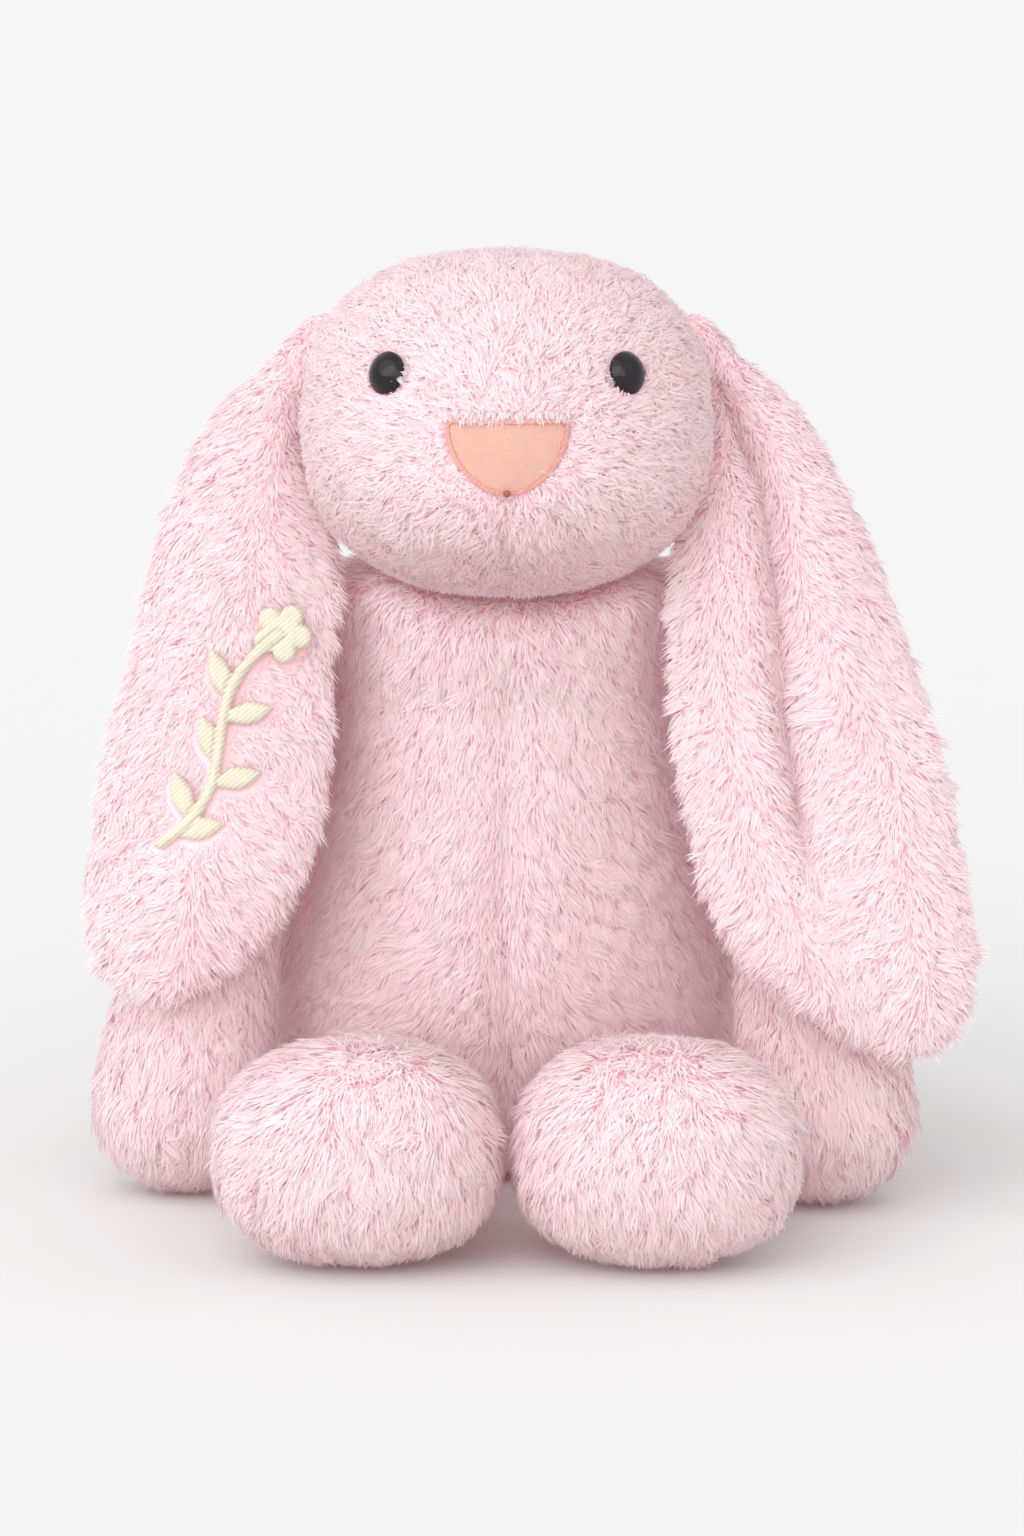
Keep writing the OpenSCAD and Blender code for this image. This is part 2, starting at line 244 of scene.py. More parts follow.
@dataclass(frozen=True)
class FurFinish:
    """Long soft pile: deeper pink at the roots of its strands, painted shade deep in the pile, pale at
    their tips.

    A faint emission, strongest at the roots, stands in for the light that passes from strand
    to strand. It is not a property of the fur.
    """

    root: Colour = (0.95, 0.76, 0.80)
    middle: Colour = (0.96, 0.85, 0.87)
    tip: Colour = (0.965, 0.915, 0.93)
    blush: Colour = (0.96, 0.79, 0.825)
    scatter: tuple[Colour, Colour, Colour] = (
        (0.62, 0.33, 0.36),
        (0.34, 0.18, 0.20),
        (0.10, 0.06, 0.065),
    )
    translucent: float = 0.5
    depth_light: float = 0.32

    def material(self) -> bpy.types.Material:
        """The pile's material, which reads each strand's own attribute."""
        r = Recipe("pink_pile")
        strand = r.node("ShaderNodeAttribute", {"attribute_name": "strand"})
        along = r.node("ShaderNodeSeparateColor", {}, strand)
        own = along.other(1)
        lock = along.other(2)
        reach = (along + (own - 0.5) * 0.25).clear()
        # The ramp from deeper pink at the root to pale at the tip is painted shade deep in the pile.
        ramp = r.node(
            "ShaderNodeValToRGB",
            {"stops": [(0.0, self.root), (0.38, self.middle), (1.0, self.tip)]},
            reach,
        )
        patches = r.noise(r.place(), 42.0, 2.0)
        tone = (lock * 0.5 + patches * 0.9 - 0.42).clear()
        colour = r.mix(tone * 0.55, ramp, self.blush)
        r.set(Base_Color=colour, Roughness=0.9, Specular_IOR_Level=0.0, IOR=1.0)
        # The scatter colours are a painted glow, deepest at the roots, standing in for light passed
        # from strand to strand.
        deep, half_way, shallow = self.scatter
        scattered = r.node(
            "ShaderNodeValToRGB",
            {"stops": [(0.0, deep), (0.5, half_way), (1.0, shallow)]},
            reach,
        )
        r.set(Emission_Color=scattered, Emission_Strength=self.depth_light)
        through = r.node("ShaderNodeBsdfTranslucent", {}, colour)
        r.blend(self.translucent, through)
        return r.material


@dataclass(frozen=True)
class ClothFinish:
    """The knitted backing that the pile grows on, with a faint painted glow like the pile's, standing
    in for light that passes through the pile.
    """

    colour: Colour = (0.96, 0.64, 0.70)
    pale: Colour = (0.97, 0.68, 0.74)
    deep: Colour = (0.62, 0.27, 0.32)
    depth_light: float = 0.15

    def material(self) -> bpy.types.Material:
        """The backing's material."""
        r = Recipe("pink_backing")
        at = r.place()
        fine = r.noise(at, 900.0, 1.0)
        wide = r.noise(at, 60.0, 2.0)
        r.set(Base_Color=r.mix(wide, self.colour, self.pale), Roughness=0.95)
        # The emission is a painted glow that lifts the backing's shade with pink; the cloth gives off
        # no light.
        r.set(Specular_IOR_Level=0.1, Emission_Color=self.deep, Emission_Strength=self.depth_light)
        r.bump(fine, 0.0004, 0.6)
        return r.material


@dataclass(frozen=True)
class WeaveFinish:
    """Plain woven cotton: crossing threads and a soft mottled tone."""

    name: str
    light: Colour
    dark: Colour
    pitch: float = 0.55 * MM

    def material(self) -> bpy.types.Material:
        """The cloth's material, woven across X and Z."""
        r = Recipe(self.name)
        at = r.place()
        across = r.node("ShaderNodeSeparateXYZ", {}, at)
        up = across.other(2)
        turn = 2 * math.pi / self.pitch
        warp = (across * turn).sine() * 0.5 + 0.5
        weft = (up * turn).sine() * 0.5 + 0.5
        threads = warp * weft
        mottle = r.noise(at, 260.0, 3.0)
        slub = r.noise(at, 1500.0, 1.0)
        tone = (threads * 0.55 + mottle * 0.5 + slub * 0.25 - 0.15).clear()
        r.set(Base_Color=r.mix(tone, self.dark, self.light), Roughness=0.8)
        r.set(Sheen_Weight=0.2, Specular_IOR_Level=0.2)
        r.bump(threads + slub * 0.5, 0.00025, 0.7)
        return r.material


@dataclass(frozen=True)
class ThreadFinish:
    """Embroidery or sewing thread with a silky twist."""

    name: str
    colour: Colour
    shade: Colour
    roughness: float = 0.45
    pitch: float = 0.8 * MM

    def material(self) -> bpy.types.Material:
        """The thread's material, with its stitches side by side on a slant and painted shade between
        them.
        """
        r = Recipe(self.name)
        at = r.place()
        wide = r.noise(at, 300.0, 2.0)
        fine = r.noise(at, 3500.0, 1.0)
        across = r.node("ShaderNodeSeparateXYZ", {}, at)
        up = across.other(2)
        slant = (across * STITCH_SLANT[0] + up * STITCH_SLANT[2]) * (2 * math.pi / self.pitch)
        # The stripes darken towards the shade colour between the stitches: painted shade in the
        # grooves, mixed with random tone.
        stitches = slant.sine() * 0.5 + 0.5
        tone = (stitches * 0.55 + wide * 0.4 + fine * 0.3 - 0.1).clear()
        r.set(Base_Color=r.mix(tone, self.shade, self.colour), Roughness=self.roughness)
        r.set(Sheen_Weight=0.3)
        r.bump(fine, 0.0001, 0.5)
        return r.material


@dataclass(frozen=True)
class BeadFinish:
    """Moulded black eye bead with a clear glossy skin."""

    core: Colour = (0.006, 0.007, 0.009)
    rim: Colour = (0.020, 0.012, 0.016)

    def material(self) -> bpy.types.Material:
        """The bead's material."""
        r = Recipe("eye_bead_black")
        cloud = r.noise(r.place(), 220.0, 1.0)
        r.set(Base_Color=r.mix(cloud, self.core, self.rim), Roughness=0.14)
        r.set(Specular_IOR_Level=0.3)
        return r.material


@dataclass(frozen=True)
class MouldedFinish:
    """Plain moulded plastic or felted filling, with a fine grain."""

    name: str
    light: Colour
    dark: Colour
    grain: float
    depth: float
    roughness: float

    def material(self) -> bpy.types.Material:
        """The plastic's or the filling's material."""
        r = Recipe(self.name)
        grain = r.noise(r.place(), self.grain, 3.0)
        r.set(Base_Color=r.mix(grain, self.dark, self.light), Roughness=self.roughness)
        r.bump(grain, self.depth, 0.5)
        return r.material


class Finishes:
    """Every material of the rabbit, made once."""

    def __init__(self) -> None:
        """Makes them all."""
        self.pile = FurFinish().material()
        self.backing = ClothFinish().material()
        self.nose = WeaveFinish("nose_weave", (0.76, 0.47, 0.40), (0.62, 0.34, 0.28)).material()
        self.nose_thread = ThreadFinish(
            "nose_edge_thread", (0.70, 0.33, 0.27), (0.52, 0.20, 0.17), pitch=1.3 * MM
        ).material()
        self.knot = ThreadFinish(
            "knot_thread_red", (0.42, 0.08, 0.08), (0.25, 0.03, 0.04)
        ).material()
        self.cream = ThreadFinish(
            "cream_satin_thread", (0.74, 0.70, 0.57), (0.50, 0.45, 0.33), 0.5, 1.15 * MM
        ).material()
        self.bead = BeadFinish().material()
        self.washer = MouldedFinish(
            "washer_white", (0.86, 0.86, 0.84), (0.74, 0.74, 0.72), 900.0, 0.00005, 0.45
        ).material()
        self.filling = MouldedFinish(
            "polyester_wadding", (0.95, 0.95, 0.93), (0.80, 0.80, 0.79), 180.0, 0.002, 0.95
        ).material()
        self.pouch = WeaveFinish(
            "pouch_weave", (0.86, 0.85, 0.80), (0.68, 0.66, 0.60), 0.8 * MM
        ).material()
        self.pellets = MouldedFinish(
            "pellet_plastic", (0.86, 0.86, 0.83), (0.60, 0.60, 0.58), 420.0, 0.001, 0.5
        ).material()


# ---- Meshes ----------------------------------------------------------------------------


def alone(obj: bpy.types.Object) -> None:
    """Makes one object the only selected and the active one."""
    bpy.ops.object.select_all(action="DESELECT")
    obj.select_set(True)
    bpy.context.view_layer.objects.active = obj


def unit(v: Array) -> Array:
    """Vectors at length 1."""
    return v / np.maximum(np.linalg.norm(v, axis=-1, keepdims=True), 1e-9)


def points_of(mesh: bpy.types.Mesh) -> Array:
    """A mesh's vertices as rows."""
    out = np.empty(len(mesh.vertices) * 3)
    mesh.vertices.foreach_get("co", out)
    return out.reshape(-1, 3)


def normals_of(mesh: bpy.types.Mesh) -> Array:
    """A mesh's vertex normals as rows."""
    out = np.empty(len(mesh.vertices) * 3)
    mesh.vertices.foreach_get("normal", out)
    return out.reshape(-1, 3)


def set_points(mesh: bpy.types.Mesh, points: Array) -> None:
    """Moves a mesh's vertices."""
    mesh.vertices.foreach_set("co", points.ravel())
    mesh.update()


def apply_modifier(obj: bpy.types.Object, kind: str, **settings: object) -> None:
    """Adds a modifier with these settings and applies it."""
    alone(obj)
    made = obj.modifiers.new(kind.title(), kind)
    for key, value in settings.items():
        setattr(made, key, value)
    bpy.ops.object.modifier_apply(modifier=made.name)


def copy_of_nodes(name: str, nodes: dict[str, bpy.types.Object], wanted: list[str]) -> bpy.types.Object:
    """Copies frame nodes into one new object with its doubles merged.

    Args:
        name: The new object's name.
        nodes: The frame's nodes by name.
        wanted: Which of them to copy.

    Returns:
        The new object, at the origin.
    """
    copies = []
    for node in wanted:
        mesh = nodes[node].data.copy()
        made = bpy.data.objects.new(name, mesh)
        bpy.context.scene.collection.objects.link(made)
        copies.append(made)
    alone(copies[0])
    for other in copies[1:]:
        other.select_set(True)
    if len(copies) > 1:
        bpy.ops.object.join()
    obj = bpy.context.view_layer.objects.active
    obj.data.materials.clear()
    bpy.ops.object.mode_set(mode="EDIT")
    bpy.ops.mesh.select_all(action="SELECT")
    bpy.ops.mesh.remove_doubles(threshold=0.00001)
    bpy.ops.object.mode_set(mode="OBJECT")
    return obj


def keep_outside(obj: bpy.types.Object) -> None:
    """Deletes every loose part of a mesh but the one with the largest box."""
    alone(obj)
    bpy.ops.object.mode_set(mode="EDIT")
    bpy.ops.mesh.select_all(action="SELECT")
    bpy.ops.mesh.separate(type="LOOSE")
    bpy.ops.object.mode_set(mode="OBJECT")
    parts = list(bpy.context.selected_objects)
    widest = max(parts, key=lambda o: float(np.prod(np.ptp(points_of(o.data), axis=0))))
    name = obj.name
    kept = widest.data
    for part in parts:
        if part is not obj:
            bpy.data.objects.remove(part)
    obj.data = kept
    obj.name = name


@dataclass
class Stuffing:
    """How a cover is blown up from its solid: by cloth that is held along its seams."""

    pressure: float = 3.0
    frames: int = 10
    cap: float = 2.0 * MM
    mass: float = 0.3
    quality: int = 4
    held: Callable[[Array], Array] | None = None

    def plump(self, obj: bpy.types.Object) -> None:
        """Inflates a closed skin and caps how far each point moves."""
        start = points_of(obj.data)
        if self.held is not None:
            group = obj.vertex_groups.new(name="seam")
            strength = self.held(start)
            for index in np.flatnonzero(strength > 0.01):
                group.add([int(index)], float(strength[index]), "REPLACE")
        cloth = obj.modifiers.new("Stuffing", "CLOTH")
        cloth.settings.use_pressure = True
        cloth.settings.uniform_pressure_force = self.pressure
        cloth.settings.effector_weights.gravity = 0.0
        cloth.settings.quality = self.quality
        cloth.settings.mass = self.mass
        if self.held is not None:
            cloth.settings.vertex_group_mass = "seam"
        cloth.point_cache.frame_start = 1
        cloth.point_cache.frame_end = self.frames
        for frame_number in range(1, self.frames + 1):
            bpy.context.scene.frame_set(frame_number)
        graph = bpy.context.evaluated_depsgraph_get()
        moved = points_of(obj.evaluated_get(graph).data)
        obj.modifiers.remove(cloth)
        bpy.context.scene.frame_set(1)
        step = moved - start
        far = np.linalg.norm(step, axis=1, keepdims=True)
        step *= np.minimum(1.0, self.cap / np.maximum(far, 1e-9))
        set_points(obj.data, start + step)
        obj.vertex_groups.clear()


@dataclass
class Skin:
    """The cloth of a cover: a closed smooth skin inside the frame's solids."""

    name: str
    nodes: list[str]
    depth: float = 2.6 * MM
    voxel: float = 4.0 * MM
    smooth: int = 6
    stuffing: Stuffing | None = None
    shape: Callable[[Array, Array], Array] | None = None

    def build(self, frame_nodes: dict[str, bpy.types.Object]) -> bpy.types.Object:
        """Makes the skin.

        Args:
            frame_nodes: The frame's nodes by name.

        Returns:
            The skin, one closed mesh with no modifiers left.
        """
        obj = copy_of_nodes(self.name, frame_nodes, self.nodes)
        apply_modifier(obj, "REMESH", mode="VOXEL", voxel_size=self.voxel)
        keep_outside(obj)
        apply_modifier(obj, "SMOOTH", factor=0.5, iterations=self.smooth)
        points = points_of(obj.data)
        set_points(obj.data, points - normals_of(obj.data) * self.depth)
        apply_modifier(obj, "SMOOTH", factor=0.5, iterations=3)
        if self.stuffing is not None:
            self.stuffing.plump(obj)
        apply_modifier(obj, "SUBSURF", levels=1, render_levels=1)
        if self.shape is not None:
            points = points_of(obj.data)
            set_points(obj.data, points + self.shape(points, normals_of(obj.data)))
            apply_modifier(obj, "SMOOTH", factor=0.4, iterations=2)
        alone(obj)
        bpy.ops.object.shade_smooth()
        log.info("%s: %d faces", self.name, len(obj.data.polygons))
        return obj


# ---- Pile ------------------------------------------------------------------------------


@dataclass
class Pile:
    """Fine strands that grow on a skin in locks, each lying along the flow of the fur."""

    name: str
    flow: Flow
    per_mm2: float = 3.2
    length: float = 9.0 * MM
    width: float = 0.64 * MM
    rise: float = 3.0 * MM
    lock: float = 3.6 * MM
    gather: float = 0.34
    stray: float = 0.35
    under: float = 0.4
    under_length: float = 0.55
    under_rise: float = 0.75
    sunk: float = 0.6 * MM
    seed: int = 1
    shorter: Callable[[Array], Array] | None = None
    kept: Callable[[Array, Array], Array] | None = None
    clear: Callable[[Array], Array] | None = None

    def _roots(self, skin: bpy.types.Mesh, rng: np.random.Generator) -> tuple[Array, Array]:
        """Scatters roots evenly over a skin.

        Args:
            skin: The skin's mesh.
            rng: The pile's own random numbers.

        Returns:
            The roots' places and the skin's normals there.
        """
        skin.calc_loop_triangles()
        count = len(skin.loop_triangles)
        corners = np.empty(count * 3, dtype=np.int64)
        skin.loop_triangles.foreach_get("vertices", corners)
        corners = corners.reshape(-1, 3)
        points = points_of(skin)
        normals = normals_of(skin)
        a, b, c = (points[corners[:, k]] for k in range(3))
        area = np.linalg.norm(np.cross(b - a, c - a), axis=1) / 2
        wanted = int(area.sum() / MM**2 * self.per_mm2)
        edges = np.cumsum(area) / area.sum()
        picks = np.searchsorted(edges, (np.arange(wanted) + rng.random(wanted)) / wanted)
        picks = np.minimum(picks, count - 1)
        u, v = rng.random((2, wanted))
        over = u + v > 1
        u[over], v[over] = 1 - u[over], 1 - v[over]
        w = np.stack([1 - u - v, u, v], axis=1)
        chosen = corners[picks]
        at = np.einsum("ij,ijk->ik", w, points[chosen])
        out = unit(np.einsum("ij,ijk->ik", w, normals[chosen]))
        if self.kept is not None:
            keep = self.kept(at, out)
            at, out = at[keep], out[keep]
        return at, out

    @staticmethod
    def _laid(direction: Array, out: Array) -> Array:
        """The part of a direction that lies in the skin, at length 1."""
        return unit(direction - out * (direction * out).sum(axis=1, keepdims=True))

    def _locks(self, at: Array, rng: np.random.Generator) -> tuple[Array, Array]:
        """Picks the middle strand of each lock and finds each strand's lock.

        Args:
            at: The roots.
            rng: The pile's own random numbers.

        Returns:
            The middle strands' numbers, and for each strand the number of its lock.
        """
        share = 1 / (self.per_mm2 * (self.lock / MM) ** 2)
        count = max(int(len(at) * share), 1)
        middles = rng.choice(len(at), count, replace=False)
        tree = KDTree(count)
        for index, strand in enumerate(middles):
            tree.insert(at[strand], index)
        tree.balance()
        own = np.fromiter((tree.find(p)[1] for p in at), dtype=np.int64, count=len(at))
        return middles, own

    def grow(self, skin: bpy.types.Object, material: bpy.types.Material) -> bpy.types.Object:
        """Grows the pile.

        Args:
            skin: The skin to grow on.
            material: The pile's material.

        Returns:
            One mesh of all the strands, with the attribute that the material reads.
        """
        rng = np.random.default_rng(self.seed)
        at, out = self._roots(skin.data, rng)
        count = len(at)
        lay = self._laid(self.flow(at, out) + rng.normal(0, self.stray, (count, 3)), out)
        middles, own = self._locks(at, rng)
        low = (rng.random(count) < self.under)[:, None]
        low[middles] = False
        size = (0.8 + 0.4 * rng.random(len(middles)))[own] * (0.8 + 0.4 * rng.random(count))
        if self.shorter is not None:
            size *= self.shorter(at)
        size = size[:, None]
        reach = self.length * size * np.where(low, self.under_length, 1.0)
        height = self.rise * size * np.where(low, self.under_rise, 1.0)
        lean = self._laid(lay + rng.normal(0, 0.25, (len(middles), 3))[own], out)
        tip = at + lean * reach * 0.82 + out * height
        swirl = self._laid(rng.normal(0, 1, (len(middles), 3)), out[middles]) * MM
        pull = np.where(low, 0.1, self.gather)
        tip += ((tip[middles] + swirl)[own] - tip) * pull
        bend = at + out * height * 0.95 + lean * reach * 0.18
        middle = 0.25 * at + 0.5 * bend + 0.25 * tip
        root = at - out * self.sunk
        along = unit(tip - root)
        roll = rng.normal(0, 0.5, (count, 1))
        across = unit(np.cross(along, out))
        face = np.cross(across, along)
        across = across * np.cos(roll) + face * np.sin(roll)
        half = across * (self.width * (0.35 + 0.3 * rng.random((count, 1))))
        points = np.stack([root, middle + half, middle - half, tip], axis=1)
        soft = unit(out + along * 0.15 + rng.normal(0, 0.07, (count, 3)))
        strand = np.ones((count, 4, 4), dtype=np.float32)
        strand[..., 0] = np.array([0.0, 0.5, 0.5, 1.0])
        strand[..., 1] = rng.random((count, 1))
        strand[..., 2] = rng.random(len(middles))[own][:, None]
        if self.clear is not None:
            free = self.clear(tip)
            points, strand, soft = points[free], strand[free], soft[free]
        obj = self._mesh(points.reshape(-1, 3), strand.reshape(-1, 4), np.repeat(soft, 4, axis=0))
        obj.data.materials.append(material)
        log.info("%s: %d strands in %d locks", self.name, count, len(middles))
        return obj

    def _mesh(self, points: Array, strand: Array, soft: Array) -> bpy.types.Object:
        """Makes one mesh of strands, four points and two faces to each.

        Args:
            points: All the points, four to a strand.
            strand: The attribute's values at them.
            soft: The normals that shade them.

        Returns:
            The new object.
        """
        count = len(points) // 4
        first = np.arange(count)[:, None] * 4
        corners = (first + np.array([0, 1, 2, 1, 3, 2])).ravel()
        mesh = bpy.data.meshes.new(self.name)
        mesh.vertices.add(len(points))
        mesh.vertices.foreach_set("co", points.astype(np.float32).ravel())
        mesh.loops.add(len(corners))
        mesh.loops.foreach_set("vertex_index", corners.astype(np.int32))
        mesh.polygons.add(count * 2)
        mesh.polygons.foreach_set("loop_start", np.arange(0, len(corners), 3, dtype=np.int32))
        mesh.update(calc_edges=True)
        colours = mesh.attributes.new("strand", "FLOAT_COLOR", "POINT")
        colours.data.foreach_set("color", strand.ravel())
        mesh.polygons.foreach_set("use_smooth", np.ones(count * 2, dtype=bool))
        mesh.normals_split_custom_set_from_vertices(soft.astype(np.float32))
        obj = bpy.data.objects.new(self.name, mesh)
        bpy.context.scene.collection.objects.link(obj)
        return obj


@dataclass
class Workshop:
    """What every sub-assembly needs: the frame, its nodes and the finishes."""

    frame: dict
    finishes: Finishes

    @property
    def nodes(self) -> dict[str, bpy.types.Object]:
        """The frame's nodes by name."""
        return self.frame["nodes"]

    def middle(self, node: str) -> Array:
        """The middle of a node's box."""
        low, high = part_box(node)
        return (np.array(low) + np.array(high)) / 2

    def dress(self, node: str, material: bpy.types.Material) -> None:
        """Gives a frame node a material of its own."""
        obj = self.nodes[node]
        if not obj.material_slots:
            obj.data.materials.append(material)
        for part in obj.material_slots:
            part.material = material

    def near(self, wanted: list[str]) -> Callable[[Array, float], Array]:
        """Makes a function that measures how far points are from some nodes.

        Args:
            wanted: The nodes.

        Returns:
            A function of points and a longest distance, which gives each point's distance.
        """
        trees = []
        for node in wanted:
            mesh = self.nodes[node].data
            faces = [tuple(p.vertices) for p in mesh.polygons]
            trees.append((BVHTree.FromPolygons([tuple(p) for p in points_of(mesh)], faces), node))

        def measure(points: Array, reach: float) -> Array:
            """Each point's distance from the nodes, up to reach."""
            found = np.full(len(points), reach)
            for tree, node in trees:
                low, high = (np.array(corner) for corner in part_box(node))
                inside = ((points > low - reach) & (points < high + reach)).all(axis=1)
                for index in np.flatnonzero(inside):
                    hit = tree.find_nearest(points[index], reach)
                    if hit[3] is not None:
                        found[index] = min(found[index], hit[3])
            return found

        return measure

    def hand_over(self, cloth: bpy.types.Object, pile: list[bpy.types.Object], body: str,
                  nodes: list[str], fill: float, seam: "Seam | None" = None) -> None:
        """Puts a finished cover in place of its frame nodes, on its body unless it lies across a joint.

        Args:
            cloth: The cover's skin.
            pile: The piles that grow on it.
            body: The frame body it rides on, when it has no seam.
            nodes: The frame nodes it stands for.
            fill: Not used.
            seam: The joint it lies across, if any; a cover with one keeps its place in the world and
                rides on no body.
        """
        cloth.data.materials.clear()
        cloth.data.materials.append(self.finishes.backing)
        for obj in (cloth, *pile):
            if seam is None:
                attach(obj, body)
            else:
                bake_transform(obj)
        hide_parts(*nodes)


@dataclass(frozen=True)
class Seam:
    """A joint that a cover lies across: the body that stays, the body that moves, and two heights."""

    fixed: str
    moving: str
    start: float
    end: float


@dataclass(frozen=True)
class Ridge:
    """A line down a panel where the fur parts, as places across at heights, in metres."""

    places: tuple[tuple[float, float], ...]

    def beside(self, at: Array) -> Array:
        """How far to its +X side points lie."""
        heights, across = zip(*sorted((z, x) for x, z in self.places), strict=True)
        return at[:, 0] - np.interp(at[:, 2], heights, across)


def smooth_step(low: float, high: float, value: Array) -> Array:
    """Smooth rise from 0 at low to 1 at high."""
    t = np.clip((value - low) / (high - low), 0.0, 1.0)
    return t * t * (3 - 2 * t)


def one_way(at: Array, *way: float) -> Array:
    """The same direction at every point."""
    return np.tile(np.array([way]), (len(at), 1))


# ---- Sub-assemblies --------------------------------------------------------------------


@dataclass
class Torso:
    """The pear-shaped body with its centre seam, its seat pouch and its tail."""

    shop: Workshop
    seam_width: float = 4.5 * MM
    seam_depth: float = 2.8 * MM
    neck: float = 13.0 * MM
    shoulder: float = 6.0 * MM
    neck_bend: float = 30.0 * MM
    collar: tuple[float, float] = (0.140, 0.168)
    chin_in: float = 5.0 * MM
    chin_up: float = 2.0 * MM
    tail_in: float = 6.0 * MM

    def flow(self, at: Array, out: Array) -> Array:
        """Fur runs down and away from the centre seam."""
        side = np.tanh(at[:, 0] / (22 * MM)) * (0.5 + 0.7 * smooth_step(0.15, 0.04, at[:, 2]))
        return np.stack([side, out[:, 1] * 0.1, np.full(len(at), -1.0)], axis=1)

    def sewn(self, at: Array, out: Array) -> Array:
        """Draws the skin in along the centre seam, and up around the neck to the head."""
        pull = np.exp(-((at[:, 0] / self.seam_width) ** 2)) * self.seam_depth
        high = smooth_step(*self.collar, at[:, 2])
        beside = smooth_step(0.008, 0.048, np.abs(at[:, 0])) * high
        chin = smooth_step(0.045, 0.030, np.abs(at[:, 0])) * high * smooth_step(0.01, -0.02, at[:, 1])
        moved = -out * (pull * (1 - high))[:, None]
        across = np.sign(at[:, 0]) * beside * self.shoulder
        up = beside * self.neck + chin * self.chin_up
        return moved + np.stack([across, -chin * self.chin_in, up], axis=1)

    def build(self) -> None:
        """Makes the cover and dresses what is inside it."""
        skin = Skin(
            "torso_cloth",
            ["torso_cover", "torso_filling"],
            stuffing=Stuffing(held=lambda p: np.exp(-((p[:, 0] / self.seam_width) ** 2))),
            shape=self.sewn,
        ).build(self.shop.nodes)
        pile = Pile("torso_pile", self.flow, seed=11).grow(skin, self.shop.finishes.pile)
        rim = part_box("torso_cover")[1][2]
        neck = Seam("torso", "head", rim - self.neck_bend, rim)
        self.shop.hand_over(skin, [pile], "torso", ["torso_cover"], 0.8, neck)
        self.shop.dress("torso_filling", self.shop.finishes.filling)
        self.shop.dress("bean_pouch", self.shop.finishes.pouch)
        self.shop.dress("bean_pellets", self.shop.finishes.pellets)
        self.tail()

    def tail(self) -> None:
        """Makes the round tail."""
        centre = self.shop.middle("tail_cover")

        def rooted(at: Array, out: Array) -> Array:
            """Draws the tail's front in to the back that it is sewn to."""
            front = smooth_step(centre[1], centre[1] - 12 * MM, at[:, 1])
            return front[:, None] * np.array([0.0, -self.tail_in, 0.0])

        def puffed(at: Array, out: Array) -> Array:
            """Fur stands out all around the tail, and droops a little."""
            return (at - centre) + np.array([0, 0, -8 * MM])

        skin = Skin(
            "tail_cloth", ["tail_cover", "tail_filling"], voxel=3 * MM, shape=rooted
        ).build(self.shop.nodes)
        pile = Pile("tail_pile", puffed, length=9 * MM, rise=5 * MM, seed=12).grow(
            skin, self.shop.finishes.pile
        )
        self.shop.hand_over(skin, [pile], "torso", ["tail_cover"], 0.8)
        self.shop.dress("tail_filling", self.shop.finishes.filling)


